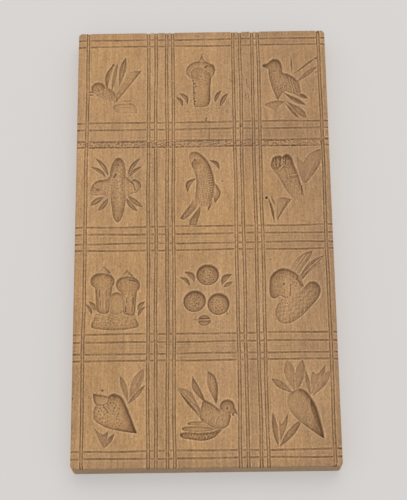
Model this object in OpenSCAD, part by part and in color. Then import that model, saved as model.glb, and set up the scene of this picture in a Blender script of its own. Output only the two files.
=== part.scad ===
// Carved picture mold: one flat board of wood. Its face is ruled into three
// columns and four rows of cells, and a picture is hollowed into each cell.
// The origin is the middle of the back face, +X across the columns, +Y up the
// rows towards the top of the pictures, and +Z out of the carved face.

/* [Board] */
// Width of the board, across the columns
board_w = 120; // [100:1:160]
// Length of the board, along the rows
board_l = 215; // [180:1:280]
// Thickness of the board
board_t = 11; // [9:0.5:20]
// Radius of the four corners, seen from above
corner_r = 2; // [0.5:0.5:5]
// Size of the chamfer round the carved face and the back
edge_chamfer = 0.6; // [0.2:0.1:1.2]

/* [Grid] */
// Plain strip between the long edges and the outer cells
side_margin = 3.8; // [2:0.2:8]
// Plain strip between the short edges and the end rails
end_margin = 3.2; // [2:0.2:8]
// Width of the narrow rails beside the cells
rail_w = 3.4; // [2:0.2:6]
// Width of the strip between two columns' rails
column_strip_w = 5.3; // [2:0.2:8]
// Width of the strip between two rows' rails
row_strip_w = 5.2; // [2:0.2:8]
// Width of a ruled groove at the face
groove_w = 1.3; // [0.8:0.1:1.8]
// Width of a ruled groove at its floor
groove_floor_w = 0.6; // [0.2:0.1:0.8]
// Depth of a ruled groove
groove_d = 0.7; // [0.3:0.1:1.2]

/* [Pictures] */
// Depth of the large hollows, such as a body
deep = 2.2; // [1:0.1:3]
// Depth of the middling hollows, such as a stem
middling = 1.5; // [0.8:0.1:2.4]
// Depth of the leaves and feathers
leaf_d = 1.1; // [0.5:0.1:2]
// Depth of the faintest hollows
faint = 0.5; // [0.2:0.1:1]
// Depth of the dots, below the hollow that they lie in
dot_d = 0.5; // [0.2:0.1:1]

/* [Hidden] */
$fn = 64;

columns = 3;
rows = 4;
// Field, in millimetres, that every picture is drawn in
field_w = 29.4;
field_l = 41.4;
// How far a cutter runs past the surface that it opens
overrun = 1;
// How far a gouge cut's solid stands above the face
clear_of_face = 0.2;

column_gap = 2 * rail_w + column_strip_w;
row_gap = 2 * rail_w + row_strip_w;
cell_w = (board_w - 2 * side_margin - (columns - 1) * column_gap) / columns;
cell_l = (board_l - 2 * (end_margin + rail_w) - (rows - 1) * row_gap) / rows;
picture_scale = min(cell_w / field_w, cell_l / field_l);

// Middle of a column, counted from the left, and of a row, counted from the top
function column_x(i) = (i - (columns - 1) / 2) * (cell_w + column_gap);
function row_y(j) = ((rows - 1) / 2 - j) * (cell_l + row_gap);

// Both grooves beside each cell, with the rail's other groove where there is one
column_lines = [for (i = [0 : columns - 1], side = [-1, 1]) column_x(i) + side * cell_w / 2];
column_rails = [for (i = [0 : columns - 2], side = [-1, 1])
    (column_x(i) + column_x(i + 1)) / 2 + side * column_strip_w / 2];
row_lines = [for (j = [0 : rows - 1], side = [-1, 1]) row_y(j) + side * cell_l / 2];
row_rails = [for (j = [0 : rows - 1], side = [-1, 1]) row_y(j) + side * (cell_l / 2 + rail_w)];

// ---- Board and ruled grooves ----

module blank() {
    linear_extrude(board_t)
        union() {
            square([board_w - 2 * corner_r, board_l], center = true);
            square([board_w, board_l - 2 * corner_r], center = true);
            for (x = [-1, 1], y = [-1, 1])
                translate([x * (board_w / 2 - corner_r), y * (board_l / 2 - corner_r)])
                    circle(corner_r);
        }
}

// A chamfer cutter along one straight edge of the board
module edge_cut(run, reach) {
    side = edge_chamfer * sqrt(2);
    for (z = [0, board_t])
        translate([reach, 0, z])
            rotate([0, 45, 0])
                cube([side, run + 2 * overrun, side], center = true);
}

module edge_cuts() {
    for (turn = [0, 180]) {
        rotate([0, 0, turn]) edge_cut(board_l, board_w / 2);
        rotate([0, 0, turn + 90]) edge_cut(board_w, board_l / 2);
    }
}

// A straight groove along Y through the face, with sloping walls
module groove(run) {
    slope = (groove_w - groove_floor_w) / 2 / groove_d;
    top = groove_w / 2 + slope * overrun;
    translate([0, (run + 2 * overrun) / 2, board_t])
        rotate([90, 0, 0])
            linear_extrude(run + 2 * overrun)
                polygon([[-groove_floor_w / 2, -groove_d], [groove_floor_w / 2, -groove_d],
                         [top, overrun], [-top, overrun]]);
}

module grid() {
    for (x = concat(column_lines, column_rails))
        translate([x, 0, 0]) groove(board_l);
    for (y = concat(row_lines, row_rails))
        translate([0, y, 0]) rotate([0, 0, 90]) groove(board_w);
}

// ---- Gouge cuts, with the face at z = 0 ----

// What a gouge leaves: the tools below, kept from just under their lowest point
// up to just above the face, so that no tool reaches over a neighbouring cut
module gouged(reach, d) {
    intersection() {
        children();
        translate([-reach, -reach, -d - overrun])
            cube([2 * reach, 2 * reach, d + overrun + clear_of_face]);
    }
}

// A round hollow of radius r at the face
module hollow(at, r, d) {
    ball_r = (r * r + d * d) / (2 * d);
    translate([at[0], at[1], 0])
        gouged(2 * r, d)
            translate([0, 0, ball_r - d]) sphere(ball_r);
}

// A pointed leaf from one tip to the other, w wide and d deep along its rib
module leaf(from, to, w, d = leaf_d) {
    run = norm(to - from);
    side_r = (run * run + w * w) / (4 * w);
    lift = (run * run / 4 - d * d) / (2 * d);
    ball_r = sqrt(side_r * side_r + lift * lift);
    turn = atan2(to[1] - from[1], to[0] - from[0]);
    middle = (from + to) / 2;
    translate([middle[0], middle[1], 0])
        rotate([0, 0, turn])
            gouged(run, d)
                intersection() {
                    translate([0, side_r - w / 2, lift]) sphere(ball_r);
                    translate([0, w / 2 - side_r, lift]) sphere(ball_r);
                }
}

// A straight channel with round ends, w wide and d deep
module channel(from, to, w, d) {
    run = norm(to - from);
    tool_r = (w * w / 4 + d * d) / (2 * d);
    turn = atan2(to[1] - from[1], to[0] - from[0]);
    translate([from[0], from[1], 0])
        rotate([0, 0, turn])
            gouged(run + 2 * w, d)
                translate([0, 0, tool_r - d]) {
                    rotate([0, 90, 0]) cylinder(h = run, r = tool_r);
                    sphere(tool_r);
                    translate([run, 0, 0]) sphere(tool_r);
                }
}

// Dots pricked in a floor that lies floor_d under the face
module dots(places, r, floor_d) {
    for (place = places)
        hollow(place, r, floor_d + dot_d);
}

// ---- The twelve pictures, each about the middle of its cell ----

module flying_bird_left() {
    hollow([-9.2, -2.3], 3.7, middling);
    leaf([-10.8, -3.6], [-14, -3.8], 0.8);
    leaf([-10.8, -4.8], [-14, -5.2], 0.8);
    channel([-5.5, -4], [-1.5, -8.5], 5, middling);
    leaf([-5, -5], [-1.8, 11.6], 4);
    leaf([0, -5], [4.2, 14.8], 4.2);
    leaf([-1, -10], [12, 7.6], 5.5, middling);
    channel([-1, -13], [7.5, -13], 5, faint);
    dots([[-9.4, -2.6]], 0.6, middling);
}

module tall_mushroom() {
    hollow([-3.4, 7.2], 5.2, deep);
    hollow([1.6, 7.2], 5.2, deep);
    leaf([-0.8, 10], [-0.8, 16], 2.6);
    channel([-0.9, 0.5], [-0.9, -8], 9, deep);
    leaf([-13.2, -7], [-9.8, -12], 2);
    leaf([-11.6, -5], [-7.6, -10.6], 2.2);
    leaf([5.4, -9.8], [9.4, -4.2], 2);
    leaf([8, -11.4], [12.2, -5.4], 2.4);
}

module perched_bird() {
    hollow([-6.4, 9], 3.7, middling);
    leaf([-8, 9.6], [-12.6, 9], 2.2);
    channel([-5.6, 4.5], [0.4, -1.5], 7, deep);
    leaf([-3.5, -3.5], [8.6, -9], 2.6);
    leaf([-4.5, -5.5], [7.4, -12.6], 2.8);
    leaf([-2, -9.6], [7.4, -18], 3.4);
    leaf([3.6, 2.5], [14.2, 13], 1.6);
    leaf([3.6, -4], [11.8, 7.8], 1.8);
    leaf([1.8, 2], [1.8, 14], 1, faint);
    hollow([-7, -13], 5, faint);
    dots([[-6.6, 8.2]], 0.6, middling);
}

module winged_insect() {
    channel([0.8, 11], [0.8, 2], 6, middling);
    channel([1, -2], [1, -13], 6, middling);
    leaf([1, -8], [1, -19], 5.6, middling);
    channel([-2, -0.4], [-7.4, -0.4], 7, middling);
    channel([3.6, 0.8], [9, 0.8], 6.4, middling);
    leaf([-10.8, 14.6], [-3.6, 5.4], 2.4);
    leaf([-13, 10.2], [-5.4, 5], 2);
    leaf([12, 14.2], [5.4, 6.4], 2.4);
    leaf([12.4, 9.8], [5.6, 5], 1.8);
    leaf([-12.8, -9.6], [-5.8, -5], 2.6);
    leaf([-9, -12.4], [-4.2, -5.6], 2.4);
    leaf([5.6, -5.2], [13, -11.2], 2.6);
    leaf([5, -6.4], [10.4, -13.4], 2.4);
    dots([[0.6, 11.4], [-8, -0.8]], 0.7, middling);
}

module fish() {
    hollow([-3, 12.4], 4.6, middling);
    channel([-1.4, 8], [1, -3.5], 8.8, deep);
    leaf([0.8, 1], [0.2, -17], 7.5, middling);
    leaf([-2.4, -6], [-12, -17.4], 3);
    leaf([-1.2, -9.4], [-4.4, -20], 3.4);
    leaf([3, 12.6], [7.2, 8.6], 1.8);
    leaf([-3.8, 3.6], [-7.8, -3], 2.2);
    leaf([5, -0.4], [5, -9.4], 3.4);
    dots([[-4.4, 13.6]], 0.6, middling);
}

module tulip() {
    channel([-3.6, 9.6], [2.4, -5], 9.4, deep);
    hollow([-6.8, 12.4], 2.4, middling);
    hollow([-2.2, 13.6], 2.4, middling);
    leaf([-10.4, 11.4], [-6, 3], 2.4);
    leaf([2, -3], [6.2, -11.4], 4);
    leaf([4.8, 2.4], [2.2, 15], 1.8);
    leaf([5, 1], [14.2, 16.4], 5.8);
    leaf([-11.8, -4.6], [-8.8, -18.2], 1.8);
    leaf([-4, -6.4], [-7.8, -18], 4);
    leaf([-0.6, -7.6], [-7.8, -18.4], 2.6);
}

module paired_mushrooms() {
    for (cap = [[-5.6, 6.6], [6.2, 3.6]]) {
        hollow(cap + [-2, 0], 3.9, middling);
        hollow(cap + [2, 0], 3.9, middling);
        leaf(cap + [0.2, 7.2], cap + [1.6, 2.4], 2.4);
    }
    channel([-5.5, 0.5], [-5.5, -7], 6, middling);
    channel([6.4, -2.6], [6.4, -7.6], 6, middling);
    channel([0.4, -2.4], [0.4, -7.6], 4.8, leaf_d);
    channel([-6.6, -13], [5, -13], 7.4, leaf_d);
    leaf([-12.8, -3.8], [-9.2, -9], 2.2);
    leaf([-13.8, -5.6], [-10.8, -10.4], 1.8);
    leaf([13.8, -4.4], [10.4, -9.6], 2.2);
    leaf([13.6, -7.2], [10.4, -11.2], 1.8);
}

module three_berries() {
    for (berry = [[1.3, 8.6], [-5.1, -4.1], [6, -5.5]]) {
        hollow(berry, 5.2, middling);
        dots([for (turn = [90 : 120 : 330]) berry + 1.6 * [cos(turn), sin(turn)]], 0.5, middling);
    }
    leaf([-10, 10], [-5.4, 5.2], 2.8);
    leaf([-12.2, 7.2], [-7.4, 3.2], 2.2);
    leaf([12.6, 9.2], [7.6, 3.4], 2.8);
    leaf([12.6, 5.2], [8.2, 2.4], 2);
    hollow([-0.6, -13.7], 2.8, leaf_d);
}

module rabbit() {
    hollow([-6, 3.6], 6.2, deep);
    hollow([-9.2, -1.4], 2.3, middling);
    hollow([0, 1.4], 4.4, middling);
    leaf([-1.6, 8.6], [7, 19], 3.4);
    leaf([1.2, 7.6], [13.2, 17.8], 3.6);
    channel([-4.4, -10.6], [6, -0.6], 9.8, deep);
    hollow([8, 0.6], 4.2, middling);
    dots([[-4, 3.4]], 0.6, deep);
}

module strawberry() {
    hollow([0.2, 0.4], 5.6, deep);
    hollow([-4.8, -3.8], 4.8, deep);
    leaf([-6, 4.4], [10.6, -12.8], 12, deep);
    leaf([-10, 5.8], [-3.6, 1.6], 4);
    leaf([3, 14], [6.4, 3], 2.2);
    leaf([12.4, 16.4], [6.6, 2.8], 4.2);
    leaf([13.4, 9.4], [6, 1.4], 2);
    leaf([-8.8, -9.6], [-4.6, -19], 3);
    leaf([-2, -10.2], [-4.2, -19], 2);
    leaf([0, -13], [-4, -19], 1.2);
    dots([[-2, 2.2], [1.2, 1], [-5.4, -4.8]], 0.6, deep);
}

module flying_bird_right() {
    hollow([9.3, -0.9], 3.5, middling);
    leaf([12, -2.2], [13.8, -5], 1);
    channel([0.8, -3.6], [6.4, -7.6], 8, deep);
    leaf([0.9, 16.2], [4.8, -1], 4.4);
    leaf([-12.8, 8.2], [-2.4, -5], 4);
    leaf([-6.2, 13.8], [-0.8, 0.6], 3.4);
    channel([-6.6, -8.6], [1, -8.6], 2, leaf_d);
    channel([-10, -11], [2.6, -11], 2.4, leaf_d);
    channel([-10.8, -13.8], [3.2, -13.4], 2.8, middling);
    dots([[9.3, -0.9]], 0.6, middling);
}

module carrot() {
    hollow([0.8, 2.2], 5.6, deep);
    leaf([-2.4, 8.4], [10.9, -16], 10.4, deep);
    leaf([-5.4, 19.2], [-1.8, 5.8], 4);
    leaf([2.2, 19.6], [-1.6, 5.8], 3);
    leaf([-11.4, 10.8], [-2.4, 5], 3);
    leaf([3.4, 15.6], [5, 4], 1.6);
    leaf([11.8, 18.6], [5.4, 3.8], 4.2);
    leaf([14, 14.8], [5.8, 3.2], 3);
    leaf([-12, -4.6], [-9.6, -18.8], 2);
    leaf([-4, -4.2], [-9.2, -16.6], 3.4);
    leaf([0.2, -8.2], [-9.8, -19], 2.4);
}

module picture(i, j) {
    index = j * columns + i;
    if (index == 0) flying_bird_left();
    if (index == 1) tall_mushroom();
    if (index == 2) perched_bird();
    if (index == 3) winged_insect();
    if (index == 4) fish();
    if (index == 5) tulip();
    if (index == 6) paired_mushrooms();
    if (index == 7) three_berries();
    if (index == 8) rabbit();
    if (index == 9) strawberry();
    if (index == 10) flying_bird_right();
    if (index == 11) carrot();
}

module pictures() {
    for (i = [0 : columns - 1], j = [0 : rows - 1])
        translate([column_x(i), row_y(j), board_t])
            scale(picture_scale)
                picture(i, j);
}

// ---- Nodes ----

module mold_board() {
    color([0.70, 0.55, 0.39])
        difference() {
            blank();
            edge_cuts();
            grid();
            pictures();
        }
}

mold_board();
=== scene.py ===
"""Looks of the carved picture mold: one wooden board whose face is ruled into cells,
with a picture hollowed into each. The whole surface is one closed mesh, made from a map of
how deep the face is cut at every point. Lengths in the carving are millimetres, X across
the columns and Y up the rows, and the mesh is in metres in the frame's own coordinates."""

import math

import bpy
import numpy as np
from mathutils import Euler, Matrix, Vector


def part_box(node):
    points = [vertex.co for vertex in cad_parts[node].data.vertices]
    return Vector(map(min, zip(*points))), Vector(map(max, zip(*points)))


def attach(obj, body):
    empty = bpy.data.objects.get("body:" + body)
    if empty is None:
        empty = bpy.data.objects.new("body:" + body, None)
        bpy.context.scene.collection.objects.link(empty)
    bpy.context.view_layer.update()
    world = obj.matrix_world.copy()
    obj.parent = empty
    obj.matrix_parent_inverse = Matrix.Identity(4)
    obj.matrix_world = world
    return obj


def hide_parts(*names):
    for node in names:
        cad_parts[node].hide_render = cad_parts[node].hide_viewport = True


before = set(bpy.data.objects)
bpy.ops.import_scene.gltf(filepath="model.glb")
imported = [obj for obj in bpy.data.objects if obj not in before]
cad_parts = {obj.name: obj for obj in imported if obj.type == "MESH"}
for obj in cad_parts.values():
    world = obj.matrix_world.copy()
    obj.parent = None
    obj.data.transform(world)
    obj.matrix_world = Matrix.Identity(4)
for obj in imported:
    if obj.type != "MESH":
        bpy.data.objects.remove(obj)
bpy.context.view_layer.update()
MM_PER_M = 1000
LOW, HIGH = [np.array(corner) * MM_PER_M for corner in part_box("mold_board")]

# ---- Sizes, in millimetres ----

BOARD_W, BOARD_L, BOARD_T = HIGH - LOW
CORNER_R = 2.0
COLUMNS, ROWS = 3, 4
SIDE_MARGIN, END_MARGIN = 4.0, 4.15
RAIL_W, COLUMN_STRIP_W, ROW_STRIP_W = 3.4, 5.3, 5.2
GROOVE_W, GROOVE_D = 2.05, 0.7
FIELD_W, FIELD_L = 29.4, 41.4

# The ruling sits this far right of the board's middle, and above it
OFF_MIDDLE = (0.5, 0.2)
COLUMN_GAP = 2 * RAIL_W + COLUMN_STRIP_W
ROW_GAP = 2 * RAIL_W + ROW_STRIP_W
CELL_W = (BOARD_W - 2 * SIDE_MARGIN - (COLUMNS - 1) * COLUMN_GAP) / COLUMNS
CELL_L = (BOARD_L - 2 * (END_MARGIN + RAIL_W) - (ROWS - 1) * ROW_GAP) / ROWS
PICTURE_SCALE = min(CELL_W / FIELD_W, CELL_L / FIELD_L)

MESH_STEP = 0.28
GROOVE_STEP = 0.22
EDGE_ROUND = 0.7
# The uncut face lies this far below the top of the frame's box
FACE_DROP = 0.13

# A hollow's wall is upright for this share of its depth, over this distance in from its rim
STEEP, WALL_RUN = 0.45, 0.35
# Painted shade: how dark the wood is made at a hollow's rim, from 0 to 1, which is also the tone of a
# plain cut's floor; and the depth where stains and shade are full
RIM_SHADE_AND_STAIN, FULL_STAIN_D = 0.75, 0.25

# The view: lens and film in millimetres, turn in degrees (tilt, sideways lean, roll), and the
# aim and the distance from it in metres.
VIEW_LENS, VIEW_FILM = 127.4, 36
VIEW_TURN = (19.645, 0.703, -0.602)
VIEW_AIM = (-0.0017 * BOARD_W / MM_PER_M, -0.0271 * BOARD_L / MM_PER_M, BOARD_T / MM_PER_M)
VIEW_DISTANCE = 3.1015 * BOARD_L / MM_PER_M

# The soft light's place and size in metres and its power in watts, the strength of the white
# sky, and the floor's side in metres and its own faint glow.
KEY_PLACE, KEY_SIZE, KEY_POWER = (0.28, 0.95, 1.5), 1.6, 6.3
SKY_STRENGTH = 0.71
FLOOR_SIDE, FLOOR_GLOW = 6, 0.32

rng = np.random.default_rng(12)


def column_x(i):
    """Middle of a column, counted from the left."""
    return (i - (COLUMNS - 1) / 2) * (CELL_W + COLUMN_GAP) + OFF_MIDDLE[0]


def row_y(j):
    """Middle of a row, counted from the top."""
    return ((ROWS - 1) / 2 - j) * (CELL_L + ROW_GAP) + OFF_MIDDLE[1]


# ---- Noise and smoothing on the height map ----

def smooth_step(t):
    """0 up to 0, 1 from 1, and a smooth rise between."""
    t = np.clip(t, 0, 1)
    return t * t * (3 - 2 * t)


def soften(field, sigma):
    """Gaussian blur; sigma is in samples."""
    if sigma < 0.2:
        return field
    reach = math.ceil(3 * sigma)
    weights = np.exp(-0.5 * (np.arange(-reach, reach + 1) / sigma) ** 2)
    weights /= weights.sum()
    for axis in (0, 1):
        pad = [(0, 0), (0, 0)]
        pad[axis] = (reach, reach)
        padded = np.pad(field, pad, mode="edge")
        field = np.zeros_like(field)
        for k, weight in enumerate(weights):
            window = [slice(None), slice(None)]
            window[axis] = slice(k, k + field.shape[axis])
            field += weight * padded[tuple(window)]
    return field


def noise_map(xs, ys, size):
    """Smooth noise of about -1 to 1 with features size = (across, along) millimetres."""
    nx = int(BOARD_W / size[0]) + 4
    ny = int(BOARD_L / size[1]) + 4
    values = rng.uniform(-1, 1, (ny, nx))
    u = (xs + BOARD_W / 2) / size[0] + 1
    v = (ys + BOARD_L / 2) / size[1] + 1
    iu = np.clip(u.astype(int), 0, nx - 2)
    iv = np.clip(v.astype(int), 0, ny - 2)
    fu = smooth_step(u - iu)[None, :]
    fv = smooth_step(v - iv)[:, None]
    rows_0 = values[iv]
    rows_1 = values[iv + 1]
    low = rows_0[:, iu] * (1 - fu) + rows_0[:, iu + 1] * fu
    high = rows_1[:, iu] * (1 - fu) + rows_1[:, iu + 1] * fu
    return low * (1 - fv) + high * fv


def wander(along, length, reach):
    """A gentle sideways wander of a hand-ruled line."""
    phases = rng.uniform(0, 2 * math.pi, 3)
    waves = [np.sin(2 * math.pi * along / (length * k) + p) / k for k, p in zip((1, 0.53, 0.31), phases)]
    return reach * (waves[0] + 0.25 * waves[1] + 0.1 * waves[2])


# ---- Gouge cuts, on a picture's own coordinates ----

class Picture:
    """The cut depth of one picture, about the middle of its cell, and how dark its floors are: stains,
    and painted shade at the rims of its hollows.
    """

    def __init__(self, x, y):
        self.x, self.y = np.meshgrid(x, y)
        self.depth = np.zeros_like(self.x)
        self.stain_and_shade = np.zeros_like(self.x)

    def cut(self, depth, stain_and_shade=RIM_SHADE_AND_STAIN):
        """Cuts down to a depth where the wood isn't that deep yet, and darkens that floor, with stains or
        with painted shade.
        """
        tone = stain_and_shade * np.clip(depth / FULL_STAIN_D, 0, 1)
        self.stain_and_shade = np.where(depth > self.depth, tone, self.stain_and_shade)
        self.depth = np.maximum(self.depth, depth)

    def add(self, depth, mask):
        """Deepens the floor within a mask; a negative depth raises it."""
        self.depth = np.where(mask, np.maximum(self.depth + depth, 0), self.depth)


def smooth_outline(points, steps=7):
    """A closed curve through the points. A point given twice in a row is a corner."""
    points = [np.array(p, float) for p in points]
    count = len(points)
    curve = []
    for i in range(count):
        p0, p1, p2, p3 = (points[(i + k) % count] for k in (-1, 0, 1, 2))
        if np.allclose(p1, p2):
            continue
        for t in np.arange(steps) / steps:
            curve.append(
                0.5 * ((2 * p1) + (p2 - p0) * t + (2 * p0 - 5 * p1 + 4 * p2 - p3) * t * t
                       + (3 * p1 - p0 - 3 * p2 + p3) * t ** 3)
            )
    return np.array(curve)


def inside_distance(pic, curve):
    """Distance in from a closed curve, negative outside it."""
    x, y = pic.x, pic.y
    nearest = np.full(x.shape, 1e9)
    inside = np.zeros(x.shape, bool)
    for a, b in zip(curve, np.roll(curve, -1, axis=0)):
        run = b - a
        t = np.clip(((x - a[0]) * run[0] + (y - a[1]) * run[1]) / (run @ run), 0, 1)
        nearest = np.minimum(nearest, np.hypot(x - a[0] - t * run[0], y - a[1] - t * run[1]))
        if a[1] != b[1]:
            crosses = ((a[1] > y) != (b[1] > y)) & (x < a[0] + (y - a[1]) * run[0] / run[1])
            inside ^= crosses
    return np.where(inside, nearest, -nearest)


def bowl(inward, wall, steep=STEEP):
    """0 outside the rim, an upright wall down to steep of the depth, then a quarter round to 1."""
    t = np.clip(inward / wall, 0, 1)
    return steep * smooth_step(inward / WALL_RUN) + (1 - steep) * np.sqrt(1 - (1 - t) ** 2)


def rim_shade(inward):
    """Painted shade: dark at the rim of a hollow, where its walls are, and pale in its middle."""
    return RIM_SHADE_AND_STAIN * (1 - 0.95 * smooth_step(inward))


def fading(pic, ends):
    """1 up to the first point and 0 past the second, for a hollow that runs out to nothing."""
    start, run = np.array(ends[0]), np.subtract(ends[1], ends[0])
    t = ((pic.x - start[0]) * run[0] + (pic.y - start[1]) * run[1]) / (run @ run)
    return 1 - smooth_step(t)


def carve(pic, points, depth, wall=2.0, fall=(0, 0), fade=None, steep=STEEP, stain_and_shade=None):
    """Hollows a closed outline. fall deepens the floor along a direction, per millimetre, and fade gives
    two points between which the hollow runs out. A given tone stains the whole floor; without one, its
    edges get painted shade and its middle stays pale."""
    inward = inside_distance(pic, smooth_outline(points))
    mask = inward > 0
    middle = np.mean(np.array(points, float), axis=0)
    floor = depth * (1 + fall[0] * (pic.x - middle[0]) + fall[1] * (pic.y - middle[1]))
    cut = np.where(mask, np.clip(floor, 0.12, 2 * depth) * bowl(inward, wall, steep), 0)
    # Without a given tone, the edges get painted shade.
    tone = rim_shade(inward / wall) if stain_and_shade is None else stain_and_shade
    pic.cut(cut * fading(pic, fade) if fade else cut, tone)
    return mask


def dish(pic, at, radii, depth, turn=0, fade=None, steep=STEEP, stain_and_shade=None):
    """A round or oval hollow with steep sides."""
    c, s = math.cos(math.radians(turn)), math.sin(math.radians(turn))
    u = (pic.x - at[0]) * c + (pic.y - at[1]) * s
    v = (pic.y - at[1]) * c - (pic.x - at[0]) * s
    q = np.hypot(u / radii[0], v / radii[1])
    cut = np.where(q < 1, depth * bowl((1 - q) * min(radii), min(radii), steep), 0)
    # Without a given tone, the rim gets painted shade.
    tone = rim_shade((1 - q) * 1.6) if stain_and_shade is None else stain_and_shade
    pic.cut(cut * fading(pic, fade) if fade else cut, tone)
    return q < 1


def leaf(pic, start, end, width, depth, bend=0.0, belly=0.5, lean=0.0, rib=0.0, stain_and_shade=0.7):
    """A pointed leaf. bend bows it to the left of its run, belly moves its widest place
    towards its end, lean moves its deepest line towards its left edge, and rib leaves a
    raised line down its middle."""
    start, end = np.array(start, float), np.array(end, float)
    run = end - start
    length = np.hypot(*run)
    along = run / length
    t = np.clip(((pic.x - start[0]) * along[0] + (pic.y - start[1]) * along[1]) / length, 0, 1)
    bow = 4 * bend * t * (1 - t)
    across = (pic.y - start[1]) * along[0] - (pic.x - start[0]) * along[1] - bow
    shape = t ** (math.log(0.5) / math.log(belly))
    half = width / 2 * np.sin(math.pi * shape) ** 0.8 + 1e-6
    v = across / half
    inside = np.abs(v) < 1
    side = np.clip(np.where(v > lean, (1 - v) / (1 - lean), (1 + v) / (1 + lean)), 0, 1)
    section = STEEP * smooth_step((1 - np.abs(v)) * half / WALL_RUN) + (1 - STEEP) * side ** 0.7
    section = section - rib * np.clip(1 - np.abs(v) / 0.3, 0, 1)
    pic.cut(np.where(inside, depth * section * np.sin(math.pi * shape) ** 0.3, 0), stain_and_shade)
    return inside


def stroke(pic, points, widths, depth):
    """A channel with round ends along straight runs; widths holds one width per point."""
    points = np.array(points, float)
    best = np.zeros_like(pic.x)
    for a, b, wa, wb in zip(points[:-1], points[1:], widths[:-1], widths[1:]):
        run = b - a
        t = np.clip(((pic.x - a[0]) * run[0] + (pic.y - a[1]) * run[1]) / (run @ run), 0, 1)
        away = np.hypot(pic.x - a[0] - t * run[0], pic.y - a[1] - t * run[1])
        half = (wa + (wb - wa) * t) / 2
        round_floor = np.sqrt(np.clip(1 - (away / half) ** 2, 0, 1))
        best = np.maximum(best, round_floor * np.minimum(1, half / wa * 2))
    pic.cut(depth * best)


def prick(pic, places, radius, depth):
    """Small round dots, sunk into whatever floor is there."""
    for at in places:
        away = np.hypot(pic.x - at[0], pic.y - at[1]) / radius
        pic.depth += depth * np.clip(1 - away ** 2, 0, 1)


def line(pic, start, end, width, depth):
    """A fine line that follows the floor; a negative depth leaves a raised one."""
    start, end = np.array(start, float), np.array(end, float)
    run = end - start
    t = np.clip(((pic.x - start[0]) * run[0] + (pic.y - start[1]) * run[1]) / (run @ run), 0, 1)
    away = np.hypot(pic.x - start[0] - t * run[0], pic.y - start[1] - t * run[1])
    pic.depth = np.maximum(pic.depth + depth * np.clip(1 - (away / (width / 2)) ** 2, 0, 1), 0)


def hatch(pic, mask, angle, spacing, length, depth):
    """Short knife strokes in rows at an angle, staggered and a little uneven."""
    c, s = math.cos(math.radians(angle)), math.sin(math.radians(angle))
    u = pic.x * c + pic.y * s
    v = pic.y * c - pic.x * s
    row = np.round(v / spacing)
    shift = (row * 0.37 + 0.21 * np.sin(row * 2.3)) * length
    along = np.abs(((u + shift) / length) % 1 - 0.5) * 2
    across = np.abs(v / spacing - row) * 2
    mark = np.clip(1 - across ** 2, 0, 1) * np.clip(1.3 - along ** 2 * 1.6, 0, 1)
    pic.add(depth * mark, mask)


def stipple(pic, mask, spacing, radius, depth):
    """Pricked dots over an area, each a little off its place."""
    ys, xs = np.nonzero(mask)
    if not len(xs):
        return
    x0, x1 = pic.x[0, xs.min()], pic.x[0, xs.max()]
    y0, y1 = sorted((pic.y[ys.min(), 0], pic.y[ys.max(), 0]))
    for gx in np.arange(x0, x1, spacing):
        for gy in np.arange(y0, y1, spacing):
            at = (gx + rng.uniform(-0.4, 0.4) * spacing, gy + rng.uniform(-0.4, 0.4) * spacing)
            away = np.hypot(pic.x - at[0], pic.y - at[1]) / radius
            pic.add(depth * rng.uniform(0.4, 1) * np.clip(1 - away ** 2, 0, 1), mask & (away < 1))


# ---- The twelve pictures ----

def flying_bird_left(pic):
    body = carve(pic, [
        (-10.6, -5.0), (-6.6, -1.6), (-3.4, -2.2), (-0.6, -5.6), (-0.9, -9.9), (-0.9, -9.9), (-4.4, -8.6),
        (-8.4, -7.4),
    ], 0.8, wall=2.6, fade=((-5.4, -4.4), (-6.2, -9.4)), steep=0.2)
    head = dish(pic, (-9.4, -1.9), (3.5, 3.5), 1.4, fade=((-9.9, -1.2), (-8.4, -6.4)))
    prick(pic, [(-9.9, -2.6), (-8.9, -3.2), (-9.3, -2.2)], 0.45, 0.5)
    line(pic, (-12.0, -3.6), (-13.9, -3.7), 0.9, 0.9)
    line(pic, (-12.0, -5.2), (-13.9, -5.3), 0.9, 0.9)
    leaf(pic, (-4.9, -2.8), (-1.8, 11.2), 2.6, 0.9, bend=1.5, lean=0.5)
    prick(pic, [(-2.2, 10.7)], 0.8, 0.7)
    leaf(pic, (-2.8, -3.6), (-0.1, 11.8), 2.2, 0.5, bend=0.2)
    line(pic, (-2.6, 8.6), (-3.6, 2.6), 0.5, 0.3)
    line(pic, (-0.2, 10.8), (-0.6, 5.0), 0.5, 0.25)
    leaf(pic, (0.8, -1.4), (3.9, 14.8), 3.4, 1.0, bend=0.2, belly=0.6, lean=0.2, rib=0.25)
    tail = carve(pic, [
        (-0.9, -9.9), (-0.9, -9.9), (-0.6, -5.2), (2.2, 0.2), (4.9, 6.2), (7.0, 7.2), (12.0, 7.5),
        (12.0, 7.5), (5.6, -1.2),
    ], 0.6, wall=0.9, fall=(0.2, -0.16), steep=0.6)
    for shift in (1.0, 2.0, 3.0):
        line(pic, (0.2 - shift, -5.6 + 0.4 * shift), (9.0 - shift, 6.4), 0.5, -0.22)
    carve(pic, [
        (-2.2, -12.8), (-0.8, -10.6), (4.0, -10.1), (7.6, -10.2), (9.2, -12.4), (9.5, -15.6),
        (6.0, -15.4), (1.4, -15.6),
    ], 0.35, wall=1.2, fall=(0, 0.08))
    line(pic, (2.6, -8.9), (6.4, -8.9), 0.6, 0.3)
    line(pic, (1.6, -12.2), (6.6, -12.4), 0.6, 0.15)
    hatch(pic, head, 60, 0.8, 1.5, 0.1)
    hatch(pic, body, 20, 0.9, 1.6, 0.16)
    hatch(pic, tail, 54, 0.9, 3.0, 0.08)
    stipple(pic, np.hypot(pic.x + 9.2, pic.y + 8.2) < 1.3, 0.8, 0.35, 0.3)


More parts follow.
